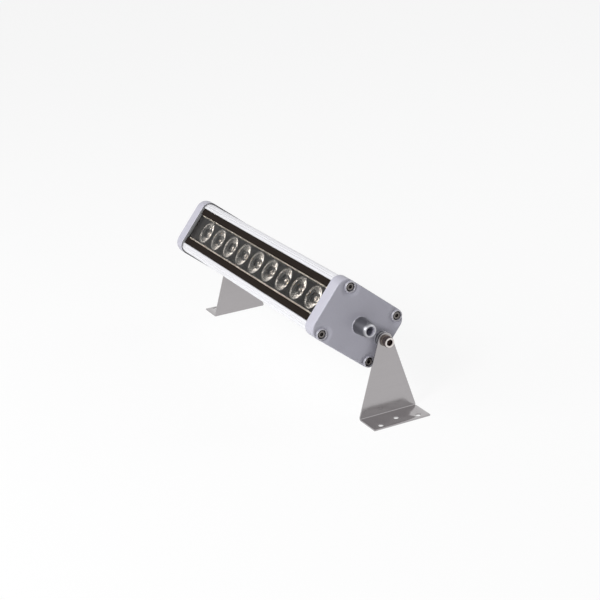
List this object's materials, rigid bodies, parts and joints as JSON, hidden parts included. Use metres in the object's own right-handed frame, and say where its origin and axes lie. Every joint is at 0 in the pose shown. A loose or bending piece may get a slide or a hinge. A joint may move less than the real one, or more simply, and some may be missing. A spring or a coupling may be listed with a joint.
{
  "type": "wall washer light",
  "caption": "Sealed aluminium bar with a row of lensed LEDs behind glass that tilts on two folded steel brackets.",
  "frame": {"origin": "on the mounting surface, in the middle of the four outer foot holes, under the tilt axis", "axes": "+X along the bar towards the end with the cable boss, +Z away from the mounting surface, -Y towards the side the beam leans to"},
  "size_m": [0.3798, 0.1004, 0.138],
  "materials": {
    "anodised_aluminium": "satin",
    "painted_casting": "satin",
    "glass_pane": "gloss",
    "glazing_strip": "matte",
    "sealing_tape": "matte",
    "silicone_pad": "matte",
    "board_black": "satin",
    "stainless_screw": "satin",
    "led": "gloss",
    "holder_black": "matte",
    "lens_acrylic": "gloss",
    "board_green": "satin",
    "transformer": "matte",
    "capacitor": "satin",
    "choke": "satin",
    "heatsink": "satin",
    "terminal": "satin",
    "lead_insulation": "satin",
    "gasket_rubber": "matte",
    "seal_rubber": "matte",
    "pivot_steel": "satin",
    "washer_steel": "satin",
    "brushed_stainless": "satin"
  },
  "bodies": {
    "left_stand": {"left_bracket": "brushed_stainless"},
    "lamp": {"housing_extrusion": "anodised_aluminium", "glass_cover": "glass_pane", "upper_glazing_strip": "glazing_strip", "lower_glazing_strip": "glazing_strip", "glass_bedding_tapes": "sealing_tape", "thermal_pad": "silicone_pad", "led_board": "board_black", "board_screws": "stainless_screw", "led_1": "led", "led_2": "led", "led_3": "led", "led_4": "led", "led_5": "led", "led_6": "led", "led_7": "led", "led_8": "led", "led_9": "led", "lens_1": "lens_acrylic", "lens_2": "lens_acrylic", "lens_3": "lens_acrylic", "lens_4": "lens_acrylic", "lens_5": "lens_acrylic", "lens_6": "lens_acrylic", "lens_7": "lens_acrylic", "lens_8": "lens_acrylic", "lens_9": "lens_acrylic", "lens_holder_1": "holder_black", "lens_holder_2": "holder_black", "lens_holder_3": "holder_black", "lens_holder_4": "holder_black", "lens_holder_5": "holder_black", "lens_holder_6": "holder_black", "lens_holder_7": "holder_black", "lens_holder_8": "holder_black", "lens_holder_9": "holder_black", "driver_board": "board_green", "driver_transformer": "transformer", "driver_capacitors": "capacitor", "driver_choke": "choke", "driver_heatsink": "heatsink", "driver_terminal": "terminal", "led_leads": "lead_insulation", "right_end_cap": "painted_casting", "left_end_cap": "painted_casting", "right_gasket": "gasket_rubber", "left_gasket": "gasket_rubber", "right_cap_screws": "stainless_screw", "left_cap_screws": "stainless_screw", "cable_grommet": "seal_rubber", "blanking_plug": "seal_rubber", "right_pivot_bolt": "pivot_steel", "left_pivot_bolt": "pivot_steel", "right_spring_washer": "washer_steel", "left_spring_washer": "washer_steel", "right_flat_washer": "washer_steel", "left_flat_washer": "washer_steel"},
    "right_stand": {"right_bracket": "brushed_stainless"}
  },
  "joints": [
    {"name": "tilt", "type": "hinge", "parent": "left_stand", "child": "lamp", "pos_m": [0, 0, 0.0734], "axis": [-1, 0, 0], "range_deg": [-59, 161]},
    {"name": "right_swing", "type": "hinge", "parent": "lamp", "child": "right_stand", "pos_m": [0, 0, 0.0734], "axis": [-1, 0, 0], "range_deg": [-161, 59]}
  ],
  "couplings": [
    {"joint": "right_swing", "follows": "tilt", "ratio": -1}
  ]
}
